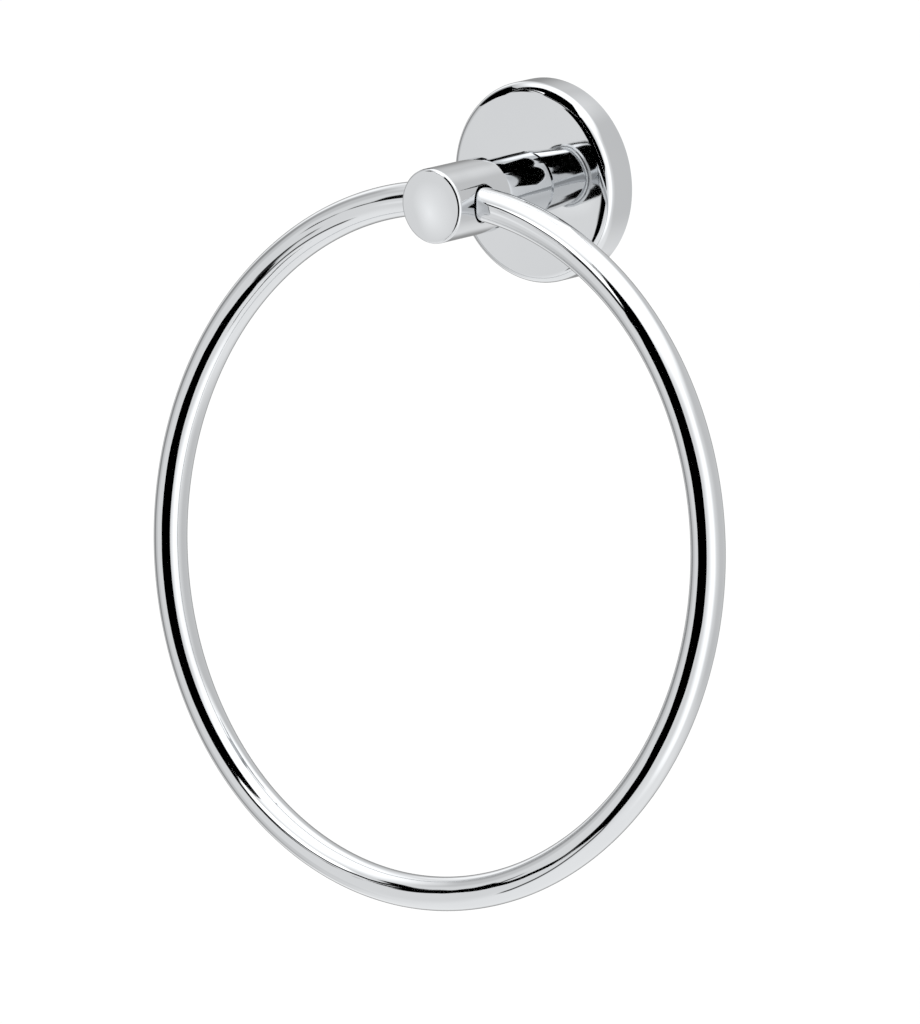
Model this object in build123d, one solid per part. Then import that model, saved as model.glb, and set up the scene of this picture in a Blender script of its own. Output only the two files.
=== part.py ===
from build123d import *
import math
import os

# Towel ring: a round rod ring that swings in the head of a short post on a round wall flange.
# Millimetres. The origin is the centre of the flange on the wall, Y = 0. The room is towards -Y, +Z is up.
# A value named "..._out" is a distance from the wall, measured into the room.

# Ring: a bent rod whose two ends lie loose in the head of the post
ring_outside_diameter = 180.0
rod_diameter = 8.5
rod_end_chamfer = 0.6
rod_end_play = 0.8
ring_swing = 8.2  # degrees that the foot of the ring stands forward of plumb

# Post: turned in one piece, a neck that stands on the flange and a head with a crowned front
post_out = 48.0
head_back_out = 27.6
head_diameter = 18.7
head_crown = 0.4
head_edge_round = 0.8
neck_diameter = 16.4
turned_edge_chamfer = 0.45
shoulder_round = 0.5

# Sockets: two blind holes drilled into the head from its sides, on one line
socket_out = 37.4
socket_diameter = 9.3
socket_web = 4.8  # solid metal left between the two sockets
socket_edge_round = 0.25

# Wall flange: shallow cup with a slightly domed face, a rolled front edge and a lug for the grub screw
flange_diameter = 50.5
flange_depth = 10.3  # to the flat seat that the post stands on
flange_dome = 1.2  # fall of the face from the seat to the edge
flange_edge_roll = 2.8
flange_wall = 2.0
flange_face = 3.3
flange_inner_round = 1.0
flange_rim_chamfer = 0.3
lug_width = 9.0
lug_height = 2.6
lug_rim_gap = 1.2

# Post screw with its spring washer, driven from inside the cup into the back of the post
screw_diameter = 6.0
screw_length = 16.0
screw_head_diameter = 10.5
screw_head_height = 3.2
screw_head_round = 1.0
screw_socket_across_flats = 4.0
screw_socket_depth = 1.8
screw_end_chamfer = 0.8
screw_hole_diameter = 6.3
tapped_hole_depth = 13.0
drill_point_angle = 118.0
washer_outside_diameter = 11.0
washer_thickness = 1.5
washer_split = 1.2
washer_split_angle = 20.0

# Wall bracket: disc with a dovetail edge, held by two countersunk wall screws
bracket_diameter = 39.0
bracket_foot_diameter = 34.0
bracket_thickness = 5.0
bracket_foot_height = 1.0
bracket_edge_chamfer = 0.5
bracket_centre_hole = 14.0
wall_screw_spacing = 26.0
wall_screw_hole = 4.8
wall_screw_countersink = 9.0
countersink_angle = 90.0

# Grub screw: set screw with a cone point, radial in the underside of the flange
grub_diameter = 4.0
grub_point_diameter = 1.0
grub_point_height = 1.5
grub_out = 3.2
grub_recess = 0.4  # how far its socket end lies below the flange's side
grub_socket_across_flats = 2.0
grub_socket_depth = 2.0

# Sizes that follow from these
rod_radius = rod_diameter / 2
ring_radius = ring_outside_diameter / 2 - rod_radius
head_radius = head_diameter / 2
neck_radius = neck_diameter / 2
flange_radius = flange_diameter / 2
flange_inner_radius = flange_radius - flange_wall
flange_inner_out = flange_depth - flange_face
screw_head_out = flange_inner_out - washer_thickness
bracket_radius = bracket_diameter / 2
bracket_foot_radius = bracket_foot_diameter / 2

# Cross-sections of turned pieces are drawn with x as the radius and y as the distance out from the wall.
turning_plane = Plane(origin=(0, 0, 0), x_dir=(1, 0, 0), z_dir=(0, 0, -1))


def turned(*corners):
    """Body turned about the wall's normal. Each corner is its radius, its distance out and its rounding."""
    points = [(radius, out) for radius, out, rounding in corners]
    roundings = [rounding for radius, out, rounding in corners]
    outline = FilletPolyline(*points, radius=roundings, close=True)
    return revolve(turning_plane * make_face(outline), Axis.Y)


def bar_outwards(radius, start_out, end_out):
    """Round bar on the wall's normal, between two distances out from the wall."""
    return turned((0, start_out, 0), (radius, start_out, 0), (radius, end_out, 0), (0, end_out, 0))


def hex_socket(across_flats, depth):
    """Six-sided recess that stands up from the origin along +Z."""
    return extrude(RegularPolygon(across_flats / 2, 6, major_radius=False), depth)


def make_wall_flange():
    """Cup with a domed face, a flat seat with a hole for the post, and a tapped lug in its lower wall."""
    edge_out = flange_depth - flange_dome
    dome_centre_out = (flange_depth + edge_out) / 2 - (flange_radius**2 - neck_radius**2) / (2 * flange_dome)
    dome_radius = math.hypot(neck_radius, flange_depth - dome_centre_out)
    with BuildSketch() as outline:
        with BuildLine():
            FilletPolyline(
                (neck_radius, flange_depth),
                (screw_hole_diameter / 2, flange_depth),
                (screw_hole_diameter / 2, flange_inner_out),
                (flange_inner_radius, flange_inner_out),
                (flange_inner_radius, 0),
                (flange_radius - flange_rim_chamfer, 0),
                (flange_radius, flange_rim_chamfer),
                (flange_radius, edge_out),
                radius=(0, 0, flange_inner_round, 0, 0, 0),
            )
            RadiusArc((flange_radius, edge_out), (neck_radius, flange_depth), -dome_radius)
        make_face()
        edge = outline.vertices().sort_by_distance((flange_radius, edge_out))[0]
        fillet(edge, flange_edge_roll)
    cup = revolve(turning_plane * outline.sketch, Axis.Y)

    lug_depth = flange_inner_out - lug_rim_gap
    lug_reach = lug_height + flange_wall / 2
    lug = Box(lug_width, lug_depth, lug_reach, align=(Align.CENTER, Align.MAX, Align.MAX))
    lug = Pos(0, -lug_rim_gap, lug_height - flange_inner_radius) * lug
    grub_hole = Cylinder(grub_diameter / 2, flange_diameter, align=(Align.CENTER, Align.CENTER, Align.MAX))
    return cup + lug - Pos(0, -grub_out, 0) * grub_hole


def make_post():
    """Neck and head in one piece, with a crowned front, two ring sockets and a tapped hole in its foot."""
    rim_out = post_out - head_crown
    crown_radius = (head_radius**2 + head_crown**2) / (2 * head_crown)
    with BuildSketch() as outline:
        with BuildLine():
            FilletPolyline(
                (0, post_out),
                (0, flange_depth),
                (neck_radius - turned_edge_chamfer, flange_depth),
                (neck_radius, flange_depth + turned_edge_chamfer),
                (neck_radius, head_back_out),
                (head_radius - turned_edge_chamfer, head_back_out),
                (head_radius, head_back_out + turned_edge_chamfer),
                (head_radius, rim_out),
                radius=(0, 0, 0, shoulder_round, 0, 0),
            )
            RadiusArc((head_radius, rim_out), (0, post_out), -crown_radius)
        make_face()
        rim = outline.vertices().sort_by_distance((head_radius, rim_out))[0]
        fillet(rim, head_edge_round)
    post = revolve(turning_plane * outline.sketch, Axis.Y)

    socket_depth = head_radius - socket_web / 2
    socket = Cylinder(socket_diameter / 2, socket_depth, align=(Align.CENTER, Align.CENTER, Align.MIN))
    for side in (-1, 1):
        post = post - Pos(side * socket_web / 2, -socket_out, 0) * Rot(0, side * 90, 0) * socket
    mouths = post.edges().filter_by(GeomType.BSPLINE)
    post = fillet(mouths, socket_edge_round)

    tapped_end = flange_depth + tapped_hole_depth
    tapped_radius = screw_diameter / 2
    drill_point = tapped_radius / math.tan(math.radians(drill_point_angle / 2))
    tapped_hole = turned(
        (0, flange_depth, 0),
        (tapped_radius, flange_depth, 0),
        (tapped_radius, tapped_end, 0),
        (0, tapped_end + drill_point, 0),
    )
    return post - tapped_hole


def ring_drop(x):
    """How far the ring's centre line lies below its top, at a distance x from the middle."""
    return ring_radius - math.sqrt(ring_radius**2 - x**2)


def make_ring():
    """Rod bent to a circle that is open at the top, hung in the sockets and swung forward."""
    rod_end = socket_web / 2 + rod_end_play
    open_angle = math.degrees(math.asin(rod_end / ring_radius))
    section = Plane.YZ * Pos(0, ring_radius) * Circle(rod_radius)
    rod = revolve(section, Axis.Y, 360 - 2 * open_angle)
    rod_girth = math.pi * rod_diameter
    end_edges = rod.edges().filter_by(lambda edge: abs(edge.length - rod_girth) < rod_end_chamfer)
    rod = Rot(0, open_angle, 0) * chamfer(end_edges, rod_end_chamfer)
    # The rod curves inside its straight sockets, so the swing axis halves the drop between rod end and mouth.
    swing_drop = (ring_drop(rod_end) + ring_drop(head_radius)) / 2
    hung = Pos(0, 0, swing_drop - ring_radius) * rod
    return Pos(0, -socket_out, 0) * Rot(-ring_swing, 0, 0) * hung


def make_post_screw():
    """Pan head screw with a hex socket, from inside the cup into the post."""
    head_bottom = screw_head_out - screw_head_height
    shank_radius = screw_diameter / 2
    shank_end = screw_head_out + screw_length
    screw = turned(
        (0, head_bottom, 0),
        (screw_head_diameter / 2, head_bottom, screw_head_round),
        (screw_head_diameter / 2, screw_head_out, 0),
        (shank_radius, screw_head_out, 0),
        (shank_radius, shank_end - screw_end_chamfer, 0),
        (shank_radius - screw_end_chamfer, shank_end, 0),
        (0, shank_end, 0),
    )
    recess = hex_socket(screw_socket_across_flats, screw_socket_depth)
    return screw - Pos(0, -head_bottom, 0) * Rot(90, 0, 0) * recess


def make_spring_washer():
    """Split washer, pressed flat between the screw head and the inside of the cup."""
    inner_radius = screw_hole_diameter / 2
    outer_radius = washer_outside_diameter / 2
    washer = bar_outwards(outer_radius, screw_head_out, flange_inner_out)
    washer = washer - bar_outwards(inner_radius, screw_head_out, flange_inner_out)
    split_length = 2 * washer_thickness
    split = Box(washer_split, split_length, outer_radius, align=(Align.CENTER, Align.CENTER, Align.MIN))
    split_out = (screw_head_out + flange_inner_out) / 2
    return washer - Pos(0, -split_out, 0) * Rot(0, 0, washer_split_angle) * split


def make_wall_bracket():
    """Disc whose edge narrows towards the wall, with a centre hole and two countersunk screw holes."""
    disc = turned(
        (bracket_centre_hole / 2, 0, 0),
        (bracket_foot_radius, 0, 0),
        (bracket_foot_radius, bracket_foot_height, 0),
        (bracket_radius, bracket_thickness - bracket_edge_chamfer, 0),
        (bracket_radius - bracket_edge_chamfer, bracket_thickness, 0),
        (bracket_centre_hole / 2, bracket_thickness, 0),
    )
    hole_radius = wall_screw_hole / 2
    sink_radius = wall_screw_countersink / 2
    sink_depth = (sink_radius - hole_radius) / math.tan(math.radians(countersink_angle / 2))
    hole = turned(
        (0, 0, 0),
        (hole_radius, 0, 0),
        (hole_radius, bracket_thickness - sink_depth, 0),
        (sink_radius, bracket_thickness, 0),
        (0, bracket_thickness, 0),
    )
    for side in (-1, 1):
        disc = disc - Pos(side * wall_screw_spacing / 2, 0, 0) * hole
    return disc


def make_grub_screw():
    """Set screw whose point meets the bracket's dovetail from below."""
    dovetail_height = bracket_thickness - bracket_edge_chamfer - bracket_foot_height
    dovetail_slope = (bracket_radius - bracket_foot_radius) / dovetail_height
    point_edge_out = grub_out + grub_point_diameter / 2
    dovetail_radius = bracket_foot_radius + dovetail_slope * (point_edge_out - bracket_foot_height)
    length = flange_radius - grub_recess - dovetail_radius
    outline = Polyline(
        (0, 0),
        (grub_diameter / 2, 0),
        (grub_diameter / 2, length - grub_point_height),
        (grub_point_diameter / 2, length),
        (0, length),
        close=True,
    )
    screw = revolve(Plane.XZ * make_face(outline), Axis.Z)
    screw = screw - hex_socket(grub_socket_across_flats, grub_socket_depth)
    return Pos(0, -grub_out, grub_recess - flange_radius) * screw


pieces = {
    "wall_bracket": make_wall_bracket(),
    "wall_flange": make_wall_flange(),
    "grub_screw": make_grub_screw(),
    "spring_washer": make_spring_washer(),
    "post_screw": make_post_screw(),
    "post": make_post(),
    "ring": make_ring(),
}

os.makedirs("parts", exist_ok=True)
for name, piece in pieces.items():
    export_step(piece, f"parts/{name}.step")
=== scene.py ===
import math

import bpy
from mathutils import Matrix, Vector


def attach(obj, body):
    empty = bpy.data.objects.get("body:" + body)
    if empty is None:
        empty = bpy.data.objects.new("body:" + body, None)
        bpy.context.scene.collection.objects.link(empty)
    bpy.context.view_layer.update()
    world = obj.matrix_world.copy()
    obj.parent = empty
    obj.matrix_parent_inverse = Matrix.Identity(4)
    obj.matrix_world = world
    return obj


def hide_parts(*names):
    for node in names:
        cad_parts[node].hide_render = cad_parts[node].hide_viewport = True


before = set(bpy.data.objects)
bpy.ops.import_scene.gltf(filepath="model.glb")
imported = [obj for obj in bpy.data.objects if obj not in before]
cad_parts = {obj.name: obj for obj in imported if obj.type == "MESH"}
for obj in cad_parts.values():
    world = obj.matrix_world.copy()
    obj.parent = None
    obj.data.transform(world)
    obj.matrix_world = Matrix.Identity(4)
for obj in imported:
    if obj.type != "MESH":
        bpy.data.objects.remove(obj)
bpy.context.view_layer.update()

# Wall bracket. A round plate pressed from steel and zinc plated, with a dovetail edge and two countersunk
# holes. It is screwed to the wall first and the flange goes over it, so it shows only from behind.
MM = 0.001
NOISE_LOW = 0.3
NOISE_HIGH = 0.7
ZINC_SPANGLE = 1.6
ZINC_DARK = (0.47, 0.48, 0.50)
ZINC_LIGHT = (0.60, 0.61, 0.63)


def new_metal(name):
    """A metal with nothing on it yet: its material, its shader and the place on the piece."""
    material = bpy.data.materials.new(name)
    material.use_nodes = True
    shader = material.node_tree.nodes["Principled BSDF"]
    shader.inputs["Metallic"].default_value = 1.0
    place = material.node_tree.nodes.new("ShaderNodeTexCoord").outputs["Object"]
    return material, shader, place


def add_noise(material, place, size, detail):
    """Cloudy noise with spots of a size in millimetres."""
    noise = material.node_tree.nodes.new("ShaderNodeTexNoise")
    noise.inputs["Scale"].default_value = 1.0 / (size * MM)
    noise.inputs["Detail"].default_value = detail
    material.node_tree.links.new(place, noise.inputs["Vector"])
    return noise.outputs["Fac"]


def add_tones(material, amount, dark, light, socket):
    """Two tones of the metal, mixed by an amount."""
    ramp = material.node_tree.nodes.new("ShaderNodeValToRGB")
    ramp.color_ramp.elements[0].position = NOISE_LOW
    ramp.color_ramp.elements[0].color = (*dark, 1.0)
    ramp.color_ramp.elements[1].position = NOISE_HIGH
    ramp.color_ramp.elements[1].color = (*light, 1.0)
    material.node_tree.links.new(amount, ramp.inputs["Fac"])
    material.node_tree.links.new(ramp.outputs["Color"], socket)


def add_range(material, amount, low, high, socket):
    """A number between low and high, by an amount."""
    spread = material.node_tree.nodes.new("ShaderNodeMapRange")
    spread.inputs["From Min"].default_value = NOISE_LOW
    spread.inputs["From Max"].default_value = NOISE_HIGH
    spread.inputs["To Min"].default_value = low
    spread.inputs["To Max"].default_value = high
    material.node_tree.links.new(amount, spread.inputs["Value"])
    material.node_tree.links.new(spread.outputs["Result"], socket)


def add_bump(material, height, depth, strength, shader):
    """Raises the surface by a depth in millimetres."""
    bump = material.node_tree.nodes.new("ShaderNodeBump")
    bump.inputs["Distance"].default_value = depth * MM
    bump.inputs["Strength"].default_value = strength
    material.node_tree.links.new(height, bump.inputs["Height"])
    material.node_tree.links.new(bump.outputs["Normal"], shader.inputs["Normal"])


zinc_plate, zinc_shader, zinc_place = new_metal("zinc_plate")
zinc_spangle = zinc_plate.node_tree.nodes.new("ShaderNodeTexVoronoi")
zinc_spangle.inputs["Scale"].default_value = 1.0 / (ZINC_SPANGLE * MM)
zinc_plate.node_tree.links.new(zinc_place, zinc_spangle.inputs["Vector"])
add_tones(zinc_plate, zinc_spangle.outputs["Color"], ZINC_DARK, ZINC_LIGHT, zinc_shader.inputs["Base Color"])
zinc_haze = add_noise(zinc_plate, zinc_place, size=3.0, detail=4.0)
add_range(zinc_plate, zinc_haze, low=0.34, high=0.50, socket=zinc_shader.inputs["Roughness"])
zinc_grain = add_noise(zinc_plate, zinc_place, size=0.35, detail=3.0)
add_bump(zinc_plate, zinc_grain, depth=0.01, strength=0.5, shader=zinc_shader)

wall_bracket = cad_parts["wall_bracket"]
wall_bracket.material_slots[0].material = zinc_plate

# Wall flange. A shallow cup turned from brass, polished and chromed, with a slightly domed face, a flat seat
# for the post and a rolled front edge. Inside its lower wall is a lug with a tapped hole for the grub screw.
FLANGE_RADIUS = 25.25
FLANGE_DEPTH = 10.3
FLANGE_DOME = 1.2
FLANGE_SEAT = 8.2
FLANGE_ROLL = 2.8
FLANGE_RIM_CHAMFER = 0.3
FLANGE_INNER_RADIUS = 23.25
FLANGE_INNER_DEPTH = 7.0
FLANGE_INNER_ROUND = 1.0
FLANGE_SCREW_HOLE = 3.15
LUG_WIDTH = 9.0
LUG_HEIGHT = 2.6
LUG_RIM_GAP = 1.2
LUG_SINK = 0.5
GRUB_HOLE = 2.0
GRUB_OUT = 3.2
GRUB_DRILL_LENGTH = 10.0
TURNING_STEPS = 240
EDGE_GUARD = 0.02
MERGE_DISTANCE = 0.001 * MM
SMOOTH_ANGLE = math.radians(28)
CHROME_DARK = (0.625, 0.638, 0.652)
CHROME_LIGHT = (0.650, 0.663, 0.677)


def rounding(centre, radius, start, end, steps):
    """Points on an arc of a turned section. 0 degrees points away from the axis, and 90 from the wall."""
    points = []
    for step in range(steps + 1):
        angle = math.radians(start + (end - start) * step / steps)
        points.append((centre[0] + radius * math.cos(angle), centre[1] + radius * math.sin(angle)))
    return points


def turn(name, section):
    """Draws a section, as radius and distance out from the wall, and spins it about the post's line."""
    bpy.ops.object.select_all(action="DESELECT")
    bpy.ops.mesh.primitive_plane_add(size=MM)
    piece = bpy.context.object
    piece.name = name
    bpy.ops.object.mode_set(mode="EDIT")
    bpy.ops.mesh.select_all(action="SELECT")
    bpy.ops.mesh.merge(type="CENTER")
    pen = Vector((0.0, 0.0, 0.0))
    for number, (radius, out) in enumerate(section):
        there = Vector((radius, -out, 0.0)) * MM
        if number == 0:
            bpy.ops.transform.translate(value=there - pen)
        else:
            bpy.ops.mesh.extrude_region_move(TRANSFORM_OT_translate={"value": there - pen})
        pen = there
    bpy.ops.mesh.select_all(action="SELECT")
    bpy.ops.mesh.spin(steps=TURNING_STEPS, angle=2 * math.pi, center=(0, 0, 0), axis=(0, 1, 0))
    bpy.ops.mesh.select_all(action="SELECT")
    bpy.ops.mesh.remove_doubles(threshold=MERGE_DISTANCE)
    bpy.ops.mesh.normals_make_consistent(inside=False)
    bpy.ops.object.mode_set(mode="OBJECT")
    return piece


def cut_or_join(piece, tool, operation):
    """Joins a tool shape to a piece or cuts it away, and takes the tool off."""
    modifier = piece.modifiers.new(operation.lower(), "BOOLEAN")
    modifier.operation = operation
    modifier.solver = "EXACT"
    modifier.object = tool
    bpy.ops.object.select_all(action="DESELECT")
    piece.select_set(True)
    bpy.context.view_layer.objects.active = piece
    bpy.ops.object.modifier_apply(modifier=modifier.name)
    bpy.data.objects.remove(tool)


dome_drop = (FLANGE_RADIUS**2 - FLANGE_SEAT**2) / (2 * FLANGE_DOME)
dome_centre = (0.0, FLANGE_DEPTH - FLANGE_DOME / 2 - dome_drop)
dome_radius = math.hypot(FLANGE_SEAT, FLANGE_DEPTH - dome_centre[1])
dome_start = math.degrees(math.acos(FLANGE_SEAT / dome_radius))
dome_end = math.degrees(math.acos((FLANGE_RADIUS - FLANGE_ROLL) / (dome_radius - FLANGE_ROLL)))
roll_rise = (dome_radius - FLANGE_ROLL) * math.sin(math.radians(dome_end))
roll_centre = (FLANGE_RADIUS - FLANGE_ROLL, dome_centre[1] + roll_rise)
inner_round_centre = (FLANGE_INNER_RADIUS - FLANGE_INNER_ROUND, FLANGE_INNER_DEPTH - FLANGE_INNER_ROUND)
flange_section = [(FLANGE_SCREW_HOLE, FLANGE_DEPTH)]
flange_section += rounding(dome_centre, dome_radius, dome_start, dome_end, steps=24)
flange_section += rounding(roll_centre, FLANGE_ROLL, dome_end, 0, steps=24)[1:]
flange_section += [(FLANGE_RADIUS, roll_centre[1] - EDGE_GUARD)]
flange_section += [(FLANGE_RADIUS, FLANGE_RIM_CHAMFER), (FLANGE_RADIUS - FLANGE_RIM_CHAMFER, 0.0)]
flange_section += [(FLANGE_INNER_RADIUS, 0.0)]
flange_section += rounding(inner_round_centre, FLANGE_INNER_ROUND, 0, 90, steps=8)
flange_section += [(FLANGE_SCREW_HOLE, FLANGE_INNER_DEPTH), (FLANGE_SCREW_HOLE, FLANGE_DEPTH)]
chrome_flange = turn("chrome_flange", flange_section)

lug_top = LUG_HEIGHT - FLANGE_INNER_RADIUS
lug_foot = -FLANGE_INNER_RADIUS - LUG_SINK
lug_front = FLANGE_INNER_DEPTH + LUG_SINK
lug_size = Vector((LUG_WIDTH, lug_front - LUG_RIM_GAP, lug_top - lug_foot)) * MM
lug_middle = Vector((0.0, -(lug_front + LUG_RIM_GAP) / 2, (lug_top + lug_foot) / 2)) * MM
bpy.ops.object.select_all(action="DESELECT")
bpy.ops.mesh.primitive_cube_add(size=1.0)
lug = bpy.context.object
bpy.ops.object.mode_set(mode="EDIT")
bpy.ops.transform.resize(value=lug_size)
bpy.ops.transform.translate(value=lug_middle)
bpy.ops.object.mode_set(mode="OBJECT")
cut_or_join(chrome_flange, lug, "UNION")

bpy.ops.object.select_all(action="DESELECT")
bpy.ops.mesh.primitive_cylinder_add(vertices=64, radius=GRUB_HOLE * MM, depth=GRUB_DRILL_LENGTH * MM)
grub_drill = bpy.context.object
bpy.ops.object.mode_set(mode="EDIT")
bpy.ops.transform.translate(value=(0.0, -GRUB_OUT * MM, -FLANGE_INNER_RADIUS * MM))
bpy.ops.object.mode_set(mode="OBJECT")
cut_or_join(chrome_flange, grub_drill, "DIFFERENCE")
bpy.ops.object.shade_smooth_by_angle(angle=SMOOTH_ANGLE)

chrome_plate, chrome_shader, chrome_place = new_metal("chrome_plate")
chrome_cloud = add_noise(chrome_plate, chrome_place, size=35.0, detail=2.0)
add_tones(chrome_plate, chrome_cloud, CHROME_DARK, CHROME_LIGHT, chrome_shader.inputs["Base Color"])
chrome_wipe = add_noise(chrome_plate, chrome_place, size=4.0, detail=3.0)
add_range(chrome_plate, chrome_wipe, low=0.030, high=0.060, socket=chrome_shader.inputs["Roughness"])
chrome_buff = add_noise(chrome_plate, chrome_place, size=18.0, detail=1.0)
add_bump(chrome_plate, chrome_buff, depth=0.3, strength=1.0, shader=chrome_shader)

chrome_flange.data.materials.append(chrome_plate)
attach(chrome_flange, "wall_mount")
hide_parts("wall_flange")

# Spring washer and post screw. Plain steel, coiled and headed, with a hex socket in the screw.
# The screw goes in from the back of the cup and draws the post against the flange's face.
STEEL_DARK = (0.36, 0.36, 0.37)
STEEL_LIGHT = (0.50, 0.50, 0.51)

screw_steel, steel_shader, steel_place = new_metal("screw_steel")
steel_cloud = add_noise(screw_steel, steel_place, size=2.5, detail=5.0)
add_tones(screw_steel, steel_cloud, STEEL_DARK, STEEL_LIGHT, steel_shader.inputs["Base Color"])
steel_marks = add_noise(screw_steel, steel_place, size=0.6, detail=2.0)
add_range(screw_steel, steel_marks, low=0.24, high=0.42, socket=steel_shader.inputs["Roughness"])
add_bump(screw_steel, steel_marks, depth=0.006, strength=0.4, shader=steel_shader)

for steel_name in ("spring_washer", "post_screw"):
    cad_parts[steel_name].material_slots[0].material = screw_steel

# Post. Turned from one brass bar, polished and chromed: a neck that stands on the flange and a thicker head.
# The head's front is slightly crowned, and two blind sockets are drilled into its sides for the ring.
POST_OUT = 48.0
HEAD_RADIUS = 9.35
HEAD_CROWN = 0.4
HEAD_EDGE_ROUND = 0.8
HEAD_BACK_OUT = 27.6
NECK_RADIUS = 8.2
TURNED_CHAMFER = 0.45
SHOULDER_ROUND = 0.5
TAPPED_RADIUS = 3.0
TAPPED_END = 23.3
DRILL_POINT_ANGLE = 118.0
SOCKET_OUT = 37.4
SOCKET_RADIUS = 4.65
SOCKET_WEB = 4.8
SOCKET_EDGE_ROUND = 0.25
SOCKET_DRILL_LENGTH = 12.0
ON_SURFACE = 0.01

crown_radius = (HEAD_RADIUS**2 + HEAD_CROWN**2) / (2 * HEAD_CROWN)
crown_centre = (0.0, POST_OUT - crown_radius)
edge_reach = HEAD_RADIUS - HEAD_EDGE_ROUND
edge_rise = math.sqrt((crown_radius - HEAD_EDGE_ROUND) ** 2 - edge_reach**2)
edge_centre = (edge_reach, crown_centre[1] + edge_rise)
crown_end = math.degrees(math.atan2(edge_rise, edge_reach))
drill_point = TAPPED_RADIUS / math.tan(math.radians(DRILL_POINT_ANGLE / 2))
shoulder_centre = (NECK_RADIUS + SHOULDER_ROUND, HEAD_BACK_OUT - SHOULDER_ROUND)
post_section = rounding(crown_centre, crown_radius, 90, crown_end, steps=24)
post_section += rounding(edge_centre, HEAD_EDGE_ROUND, crown_end, 0, steps=16)[1:]
post_section += [(HEAD_RADIUS, edge_centre[1] - EDGE_GUARD)]
post_section += [(HEAD_RADIUS, HEAD_BACK_OUT + TURNED_CHAMFER), (HEAD_RADIUS - TURNED_CHAMFER, HEAD_BACK_OUT)]
post_section += rounding(shoulder_centre, SHOULDER_ROUND, 90, 180, steps=8)
post_section += [(NECK_RADIUS, shoulder_centre[1] - EDGE_GUARD)]
post_section += [(NECK_RADIUS, FLANGE_DEPTH + TURNED_CHAMFER), (NECK_RADIUS - TURNED_CHAMFER, FLANGE_DEPTH)]
post_section += [(TAPPED_RADIUS, FLANGE_DEPTH), (TAPPED_RADIUS, TAPPED_END), (0.0, TAPPED_END + drill_point)]
chrome_post = turn("chrome_post", post_section)

drill_length = SOCKET_DRILL_LENGTH * MM
for side in (-1, 1):
    socket_middle = side * (SOCKET_WEB + SOCKET_DRILL_LENGTH) / 2
    bpy.ops.object.select_all(action="DESELECT")
    bpy.ops.mesh.primitive_cylinder_add(vertices=128, radius=SOCKET_RADIUS * MM, depth=drill_length)
    socket_drill = bpy.context.object
    bpy.ops.object.mode_set(mode="EDIT")
    bpy.ops.transform.rotate(value=math.radians(90), orient_axis="Y", center_override=(0, 0, 0))
    bpy.ops.transform.translate(value=(socket_middle * MM, -SOCKET_OUT * MM, 0.0))
    bpy.ops.object.mode_set(mode="OBJECT")
    cut_or_join(chrome_post, socket_drill, "DIFFERENCE")

bpy.ops.object.mode_set(mode="EDIT")
bpy.ops.mesh.select_mode(type="EDGE")
bpy.ops.mesh.select_all(action="DESELECT")
bpy.ops.object.mode_set(mode="OBJECT")
for edge in chrome_post.data.edges:
    ends = [chrome_post.data.vertices[number].co / MM for number in edge.vertices]
    on_head = all(abs(math.hypot(end.x, end.z) - HEAD_RADIUS) < ON_SURFACE for end in ends)
    socket_reach = [math.hypot(end.y + SOCKET_OUT, end.z) for end in ends]
    on_socket = all(abs(reach - SOCKET_RADIUS) < ON_SURFACE for reach in socket_reach)
    edge.select = on_head and on_socket
bpy.ops.object.mode_set(mode="EDIT")
bpy.ops.mesh.bevel(offset=SOCKET_EDGE_ROUND * MM, segments=4)
bpy.ops.object.mode_set(mode="OBJECT")
bpy.ops.object.shade_smooth_by_angle(angle=SMOOTH_ANGLE)

chrome_post.data.materials.append(chrome_plate)
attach(chrome_post, "wall_mount")
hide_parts("post")

# Ring. A round brass rod bent to a circle, polished and chromed, its ends sprung into the post's sockets.
# It lies loose there and swings, and it hangs with its foot a little forward of plumb.
RING_RADIUS = 85.75
ROD_RADIUS = 4.25
ROD_END = 3.2
ROD_END_CHAMFER = 0.6
RING_SWING = math.radians(8.2)


def ring_drop(x):
    """How far the ring's centre line lies below its top, at a distance x from the middle."""
    return RING_RADIUS - math.sqrt(RING_RADIUS**2 - x**2)


swing_drop = (ring_drop(ROD_END) + ring_drop(HEAD_RADIUS)) / 2
hang = Vector((0.0, math.sin(RING_SWING), math.cos(RING_SWING)))
ring_axis = Vector((0.0, -math.cos(RING_SWING), math.sin(RING_SWING)))
ring_middle = (Vector((0.0, -SOCKET_OUT, 0.0)) + hang * (swing_drop - RING_RADIUS)) * MM
ring_foot = ring_middle - hang * RING_RADIUS * MM
half_bend = math.pi - math.asin(ROD_END / RING_RADIUS)
chamfer_bend = ROD_END_CHAMFER / RING_RADIUS

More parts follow.
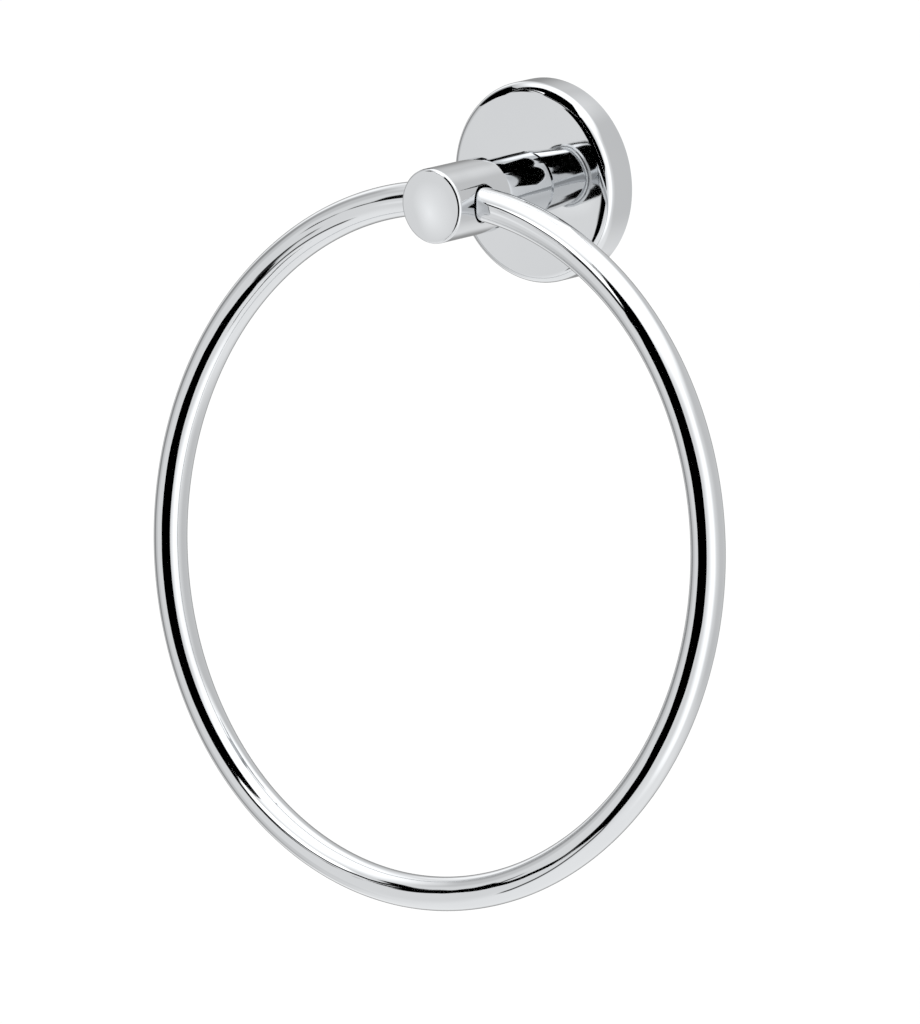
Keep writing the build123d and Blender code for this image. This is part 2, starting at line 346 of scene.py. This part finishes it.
bpy.ops.object.select_all(action="DESELECT")
bpy.ops.mesh.primitive_circle_add(vertices=72, radius=ROD_RADIUS * MM)
chrome_ring = bpy.context.object
chrome_ring.name = "chrome_ring"
bpy.ops.object.mode_set(mode="EDIT")
bpy.ops.transform.rotate(value=math.radians(90), orient_axis="Y", center_override=(0, 0, 0))
bpy.ops.transform.translate(value=ring_foot)
for way in (1, -1):
    bpy.ops.mesh.select_all(action="DESELECT")
    bpy.ops.mesh.select_mode(type="VERT")
    bpy.ops.object.mode_set(mode="OBJECT")
    for vertex in chrome_ring.data.vertices:
        vertex.select = abs(vertex.co.x) < MERGE_DISTANCE and vertex.co.z < ring_middle.z
    bpy.ops.object.mode_set(mode="EDIT")
    bpy.ops.mesh.spin(steps=180, angle=way * (half_bend - chamfer_bend), center=ring_middle, axis=ring_axis)
    bpy.ops.mesh.spin(steps=1, angle=way * chamfer_bend, center=ring_middle, axis=ring_axis)
    # A spin turns the other way round its axis than a rotation matrix does.
    bend = Matrix.Rotation(-way * half_bend, 3, ring_axis)
    end_middle = ring_middle + bend @ (ring_foot - ring_middle)
    chamfered = 1.0 - ROD_END_CHAMFER / ROD_RADIUS
    bpy.ops.transform.resize(value=(chamfered, chamfered, chamfered), center_override=end_middle)
    bpy.ops.mesh.edge_face_add()
bpy.ops.mesh.select_all(action="SELECT")
bpy.ops.mesh.remove_doubles(threshold=MERGE_DISTANCE)
bpy.ops.mesh.normals_make_consistent(inside=False)
bpy.ops.object.mode_set(mode="OBJECT")
bpy.ops.object.shade_smooth_by_angle(angle=SMOOTH_ANGLE)

chrome_ring.data.materials.append(chrome_plate)
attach(chrome_ring, "ring")
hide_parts("ring")

# Grub screw. A short steel set screw with a cone point, in the underside of the flange.
# It is turned in last and bites on the bracket's dovetail, which holds the flange to the wall.
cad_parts["grub_screw"].material_slots[0].material = screw_steel

# Floor. A large pale board well below the object, lit mostly by its own glow where the camera sees it.
# The chrome does not mirror it, and shows the light tent in its place.
FLOOR_DROP = 0.9
FLOOR_SIZE = 16.0
FLOOR_GLOW_SHARE = 0.85

bpy.ops.object.select_all(action="DESELECT")
bpy.ops.mesh.primitive_plane_add(size=FLOOR_SIZE, location=(0, 0, -FLOOR_DROP))
floor = bpy.context.object
floor.name = "floor"
floor.visible_glossy = False
floor_paint = bpy.data.materials.new("pale_floor")
floor_paint.use_nodes = True
floor_nodes = floor_paint.node_tree.nodes
floor_links = floor_paint.node_tree.links
floor_matt = floor_nodes["Principled BSDF"]
floor_matt.inputs["Base Color"].default_value = (0.92, 0.92, 0.92, 1.0)
floor_matt.inputs["Roughness"].default_value = 0.9
floor_glow = floor_nodes.new("ShaderNodeEmission")
floor_glow.inputs["Color"].default_value = (1.0, 1.0, 1.0, 1.0)
floor_path = floor_nodes.new("ShaderNodeLightPath")
floor_share = floor_nodes.new("ShaderNodeMath")
floor_share.operation = "MULTIPLY"
floor_share.inputs[1].default_value = FLOOR_GLOW_SHARE
floor_mix = floor_nodes.new("ShaderNodeMixShader")
floor_links.new(floor_path.outputs["Is Camera Ray"], floor_share.inputs[0])
floor_links.new(floor_share.outputs[0], floor_mix.inputs["Fac"])
floor_links.new(floor_matt.outputs["BSDF"], floor_mix.inputs[1])
floor_links.new(floor_glow.outputs["Emission"], floor_mix.inputs[2])
floor_links.new(floor_mix.outputs["Shader"], floor_nodes["Material Output"].inputs["Surface"])
floor.data.materials.append(floor_paint)

# Light tent. Soft cloth hung all round the object, which the chrome mirrors and the camera sees as white.
# It is bright overhead and on the right, grey on the left and dark straight behind, as the camera looks.
# Directions in it are degrees round, from the front towards the right, and degrees up.
EVERYWHERE = (-400, -390, 390, 400)

tent = bpy.data.worlds.new("light_tent")
bpy.context.scene.world = tent
tent.use_nodes = True
tent_nodes = tent.node_tree.nodes
tent_links = tent.node_tree.links


def tent_number(operation, first, second=0.0):
    """One step of arithmetic on directions in the tent."""
    node = tent_nodes.new("ShaderNodeMath")
    node.operation = operation
    for socket, value in zip(node.inputs, (first, second)):
        if isinstance(value, (int, float)):
            socket.default_value = value
        else:
            tent_links.new(value, socket)
    return node.outputs[0]


def tent_edge(angle, start, end):
    """Goes softly from 0 at one angle to 1 at another."""
    node = tent_nodes.new("ShaderNodeMapRange")
    node.interpolation_type = "SMOOTHSTEP"
    node.inputs["From Min"].default_value = min(start, end)
    node.inputs["From Max"].default_value = max(start, end)
    node.inputs["To Min"].default_value = 0.0 if start < end else 1.0
    node.inputs["To Max"].default_value = 1.0 if start < end else 0.0
    tent_links.new(angle, node.inputs["Value"])
    return node.outputs["Result"]


def tent_reach(across, up):
    """Length of a step across and up in the tent."""
    squares = tent_number("ADD", tent_number("POWER", across, 2), tent_number("POWER", up, 2))
    return tent_number("SQRT", squares)


def tent_lay(below, light, cover):
    """Lays one brightness over what is there already, as far as it covers it."""
    change = tent_number("SUBTRACT", light, below)
    return tent_number("ADD", below, tent_number("MULTIPLY", change, cover))


def tent_panel(below, light, sides, heights):
    """Hangs a soft panel in the tent, by the angles where it starts, is full, fades and ends."""
    cover = 1.0
    for angle, (start, full, fading, end) in ((tent_round, sides), (tent_up, heights)):
        cover = tent_number("MULTIPLY", cover, tent_edge(angle, start, full))
        cover = tent_number("MULTIPLY", cover, tent_edge(angle, end, fading))
    return tent_lay(below, light, cover)


def tent_oval(below, light, middle, half_size, softness):
    """Hangs an oval in the tent, with its middle and half sizes in degrees round and up."""
    across = tent_number("DIVIDE", tent_number("SUBTRACT", tent_round, middle[0]), half_size[0])
    up = tent_number("DIVIDE", tent_number("SUBTRACT", tent_up, middle[1]), half_size[1])
    return tent_lay(below, light, tent_edge(tent_reach(across, up), 1 + softness, 1 - softness))


def tent_strip(below, light, start, end, half_width, fade):
    """Hangs a strip with round ends between two directions in the tent."""
    run = end[0] - start[0]
    rise = end[1] - start[1]
    across = tent_number("SUBTRACT", tent_round, start[0])
    up = tent_number("SUBTRACT", tent_up, start[1])
    along = tent_number("ADD", tent_number("MULTIPLY", across, run), tent_number("MULTIPLY", up, rise))
    along = tent_number("DIVIDE", along, run**2 + rise**2)
    along = tent_number("MINIMUM", tent_number("MAXIMUM", along, 0.0), 1.0)
    across = tent_number("SUBTRACT", across, tent_number("MULTIPLY", along, run))
    up = tent_number("SUBTRACT", up, tent_number("MULTIPLY", along, rise))
    return tent_lay(below, light, tent_edge(tent_reach(across, up), fade, half_width))


tent_axes = tent_nodes.new("ShaderNodeSeparateXYZ")
tent_links.new(tent_nodes.new("ShaderNodeTexCoord").outputs["Generated"], tent_axes.inputs[0])
tent_front = tent_number("MULTIPLY", tent_axes.outputs["Y"], -1.0)
tent_round = tent_number("DEGREES", tent_number("ARCTAN2", tent_axes.outputs["X"], tent_front))
tent_up = tent_number("DEGREES", tent_number("ARCSINE", tent_axes.outputs["Z"]))

# Grey cloth behind on both sides, a bright gap at the left back, and a dark patch on grey at the left.
tent_light = tent_panel(1.0, light=0.80, sides=(-400, -390, -150, -128), heights=EVERYWHERE)
tent_light = tent_panel(tent_light, light=0.78, sides=(95, 130, 390, 400), heights=EVERYWHERE)
tent_light = tent_panel(tent_light, light=1.45, sides=(-136, -126, -112, -102), heights=(-60, -40, 25, 40))
tent_light = tent_panel(tent_light, light=0.80, sides=(-104, -92, -66, -54), heights=EVERYWHERE)
tent_light = tent_oval(tent_light, light=0.36, middle=(-91, -4), half_size=(13, 38), softness=0.6)
# Pale cloth below, a bright panel on the right and bright cloth overhead.
tent_light = tent_panel(tent_light, light=1.15, sides=EVERYWHERE, heights=(-95, -91, -55, -25))
tent_light = tent_panel(tent_light, light=1.60, sides=(36, 66, 80, 100), heights=(-66, -42, 90, 91))
tent_light = tent_panel(tent_light, light=1.65, sides=EVERYWHERE, heights=(34, 56, 91, 95))
# A dark patch straight behind the object, hung twice because the angle round jumps at the half turn in it.
for behind in (-140, 220):
    tent_light = tent_oval(tent_light, light=0.35, middle=(behind, -12), half_size=(30, 32), softness=0.45)
# A bright patch at the upper front left, and thin dark gaps between the cloths.
tent_light = tent_oval(tent_light, light=2.3, middle=(-28, 29), half_size=(10, 9), softness=0.35)
tent_light = tent_strip(tent_light, light=0.0, start=(-41.5, 9), end=(-47, 34), half_width=2.0, fade=4.0)
tent_light = tent_strip(tent_light, light=0.0, start=(-43, 25), end=(-22, 13), half_width=1.8, fade=3.6)
tent_light = tent_strip(tent_light, light=0.0, start=(-22, 17), end=(-33, 11), half_width=1.4, fade=3.2)
tent_light = tent_strip(tent_light, light=0.03, start=(-25, -14), end=(-14, -24), half_width=2.0, fade=4.5)
tent_light = tent_strip(tent_light, light=0.10, start=(-6, -34), end=(-28, -42), half_width=2.0, fade=5.0)

white_wall = tent_nodes.new("ShaderNodeBackground")
white_wall.inputs["Color"].default_value = (0.99, 0.99, 0.99, 1.0)
tent_cloth = tent_nodes["Background"]
tent_cloth.inputs["Color"].default_value = (1.0, 1.0, 1.0, 1.0)
tent_links.new(tent_light, tent_cloth.inputs["Strength"])
# The cards cast no shadow, so light is found by the mirror alone and never through a card.
tent.cycles.sampling_method = "NONE"
tent_path = tent_nodes.new("ShaderNodeLightPath")
tent_mix = tent_nodes.new("ShaderNodeMixShader")
tent_links.new(tent_path.outputs["Is Camera Ray"], tent_mix.inputs["Fac"])
tent_links.new(tent_cloth.outputs["Background"], tent_mix.inputs[1])
tent_links.new(white_wall.outputs["Background"], tent_mix.inputs[2])
tent_links.new(tent_mix.outputs["Shader"], tent_nodes["World Output"].inputs["Surface"])

# Cards. Paper cards and boards that stand near the object and show only in its chrome, in millimetres.
# A dark doorway stands about a metre in front. The boards by the post are black towards the wall and white
# towards the room. Black cards hang by the flange and before the ring's foot, and a glow before the head.
DOORWAY_OUT = 961.0
DOORWAY_TOP = [(-550, 70), (-330, 330), (-180, 1000), (220, 960), (420, 540), (610, 370)]
DOORWAY_FOOT = [(625, -170), (320, -450), (200, -650), (0, -700), (-330, -530), (-390, -210)]
BOARD_OUT = 28.0
BOARD_THICKNESS = 0.5
BOARD_LIGHT = 1.6
GLOW_MIDDLE = Vector((-63.0, -123.0, -21.0))
GLOW_RADIUS = Vector((22.0, 22.0, 18.0))
GLOW_LIGHT = 1.3

black_paint = bpy.data.materials.new("black_card")
black_paint.use_nodes = True
black_matt = black_paint.node_tree.nodes["Principled BSDF"]
black_matt.inputs["Base Color"].default_value = (0.0, 0.0, 0.0, 1.0)
black_matt.inputs["Roughness"].default_value = 1.0
black_matt.inputs["Specular IOR Level"].default_value = 0.0

white_paint = bpy.data.materials.new("white_card")
white_paint.use_nodes = True
white_paint.cycles.emission_sampling = "NONE"
white_lit = white_paint.node_tree.nodes["Principled BSDF"]
white_lit.inputs["Base Color"].default_value = (0.0, 0.0, 0.0, 1.0)
white_lit.inputs["Specular IOR Level"].default_value = 0.0
white_lit.inputs["Emission Color"].default_value = (1.0, 1.0, 1.0, 1.0)
white_lit.inputs["Emission Strength"].default_value = BOARD_LIGHT

glow_paint = bpy.data.materials.new("glow_card")
glow_paint.use_nodes = True
glow_paint.cycles.emission_sampling = "NONE"
glow_nodes = glow_paint.node_tree.nodes
glow_links = glow_paint.node_tree.links
glow_place = glow_nodes.new("ShaderNodeMapping")
glow_place.vector_type = "TEXTURE"
glow_place.inputs["Location"].default_value = GLOW_MIDDLE * MM
glow_place.inputs["Scale"].default_value = GLOW_RADIUS * MM
glow_fall = glow_nodes.new("ShaderNodeTexGradient")
glow_fall.gradient_type = "SPHERICAL"
glow_lit = glow_nodes.new("ShaderNodeEmission")
glow_lit.inputs["Strength"].default_value = GLOW_LIGHT
glow_mix = glow_nodes.new("ShaderNodeMixShader")
glow_links.new(glow_nodes.new("ShaderNodeTexCoord").outputs["Object"], glow_place.inputs["Vector"])
glow_links.new(glow_place.outputs["Vector"], glow_fall.inputs["Vector"])
glow_links.new(glow_fall.outputs["Fac"], glow_mix.inputs["Fac"])
glow_links.new(glow_nodes.new("ShaderNodeBsdfTransparent").outputs["BSDF"], glow_mix.inputs[1])
glow_links.new(glow_lit.outputs["Emission"], glow_mix.inputs[2])
glow_links.new(glow_mix.outputs["Shader"], glow_nodes["Material Output"].inputs["Surface"])


def show_in_chrome_only(card, paint):
    """Paints a card and hides it from everything but the mirror of the chrome."""
    card.visible_camera = False
    card.visible_diffuse = False
    card.visible_transmission = False
    card.visible_shadow = False
    card.data.materials.append(paint)


def hang_card(name, paint, edge_start, edge_end, steps):
    """Draws one edge of a card and drags it step by step."""
    bpy.ops.object.select_all(action="DESELECT")
    bpy.ops.mesh.primitive_plane_add(size=MM)
    card = bpy.context.object
    card.name = name
    bpy.ops.object.mode_set(mode="EDIT")
    bpy.ops.mesh.select_all(action="SELECT")
    bpy.ops.mesh.merge(type="CENTER")
    bpy.ops.transform.translate(value=Vector(edge_start) * MM)
    edge = (Vector(edge_end) - Vector(edge_start)) * MM
    bpy.ops.mesh.extrude_region_move(TRANSFORM_OT_translate={"value": edge})
    bpy.ops.mesh.select_all(action="SELECT")
    for step in steps:
        bpy.ops.mesh.extrude_region_move(TRANSFORM_OT_translate={"value": Vector(step) * MM})
    bpy.ops.object.mode_set(mode="OBJECT")
    show_in_chrome_only(card, paint)


def hang_board(name, edge_start, edge_end, drag):
    """Stands a board along the wall, black on one face and white on the other, by places across and up."""
    white_out = BOARD_OUT + BOARD_THICKNESS
    for face, paint, out in ((name, black_paint, BOARD_OUT), (name + "_face", white_paint, white_out)):
        start = (edge_start[0], -out, edge_start[1])
        end = (edge_end[0], -out, edge_end[1])
        hang_card(face, paint, start, end, [(drag[0], 0, drag[1])])


bpy.ops.object.select_all(action="DESELECT")
doorway_corners = DOORWAY_TOP + DOORWAY_FOOT
bpy.ops.mesh.primitive_circle_add(vertices=len(doorway_corners), fill_type="NGON")
doorway = bpy.context.object
doorway.name = "dark_doorway"
for corner, (across, up) in zip(doorway.data.vertices, doorway_corners):
    corner.co = Vector((across, -DOORWAY_OUT, up)) * MM
show_in_chrome_only(doorway, black_paint)

hang_board("top_board", edge_start=(-34, 38), edge_end=(-34, 95), drag=(54, 0))
hang_board("board_flap", edge_start=(-8, 28), edge_end=(-8, 38), drag=(28, 0))
hang_board("neck_card", edge_start=(11.5, 30.7), edge_end=(22.5, 39.3), drag=(21, -27))
hang_card("bent_card", black_paint, edge_start=(-34, -38, 22), edge_end=(-34, -9, 22), steps=[(0, 0, 23)])
foot_start = (-66, -137, -143)
foot_end = (-58, -137, -133)
foot_folds = [(32, -6, -27), (42, -6, -19)]
hang_card("foot_card", black_paint, foot_start, foot_end, foot_folds)

glow_low = GLOW_MIDDLE - Vector((GLOW_RADIUS.x, 0, GLOW_RADIUS.z))
glow_high = glow_low + Vector((0, 0, 2 * GLOW_RADIUS.z))
hang_card("glow_card", glow_paint, glow_low, glow_high, steps=[(2 * GLOW_RADIUS.x, 0, 0)])

# Camera. A long lens far off, to the front right of the wall fitting and a little above it.
# It leans slightly to one side, and aims near the middle of the ring. Its places are in metres.
CAMERA_ROUND = math.radians(39.884)
CAMERA_UP = math.radians(11.870)
CAMERA_ROLL = math.radians(-1.288)
CAMERA_DISTANCE = 2.450
CAMERA_AIM = Vector((-0.007571, -0.030, -0.080360))
CAMERA_LENS = 347.127
CAMERA_SENSOR = 36.0
CAMERA_SIGHT = 100.0

camera_data = bpy.data.cameras.new("camera")
camera_data.sensor_width = CAMERA_SENSOR
camera_data.lens = CAMERA_LENS
camera_data.clip_end = CAMERA_SIGHT
camera = bpy.data.objects.new("camera", camera_data)
bpy.context.scene.collection.objects.link(camera)
right_of_wall = math.sin(CAMERA_ROUND) * math.cos(CAMERA_UP)
out_from_wall = math.cos(CAMERA_ROUND) * math.cos(CAMERA_UP)
back = Vector((right_of_wall, -out_from_wall, math.sin(CAMERA_UP)))
camera.rotation_mode = "QUATERNION"
camera.location = CAMERA_AIM + back * CAMERA_DISTANCE
level = (-back).to_track_quat("-Z", "Y")
camera.rotation_quaternion = Matrix.Rotation(CAMERA_ROLL, 3, back).to_quaternion() @ level
bpy.context.scene.camera = camera
bpy.context.scene.view_settings.view_transform = "Standard"
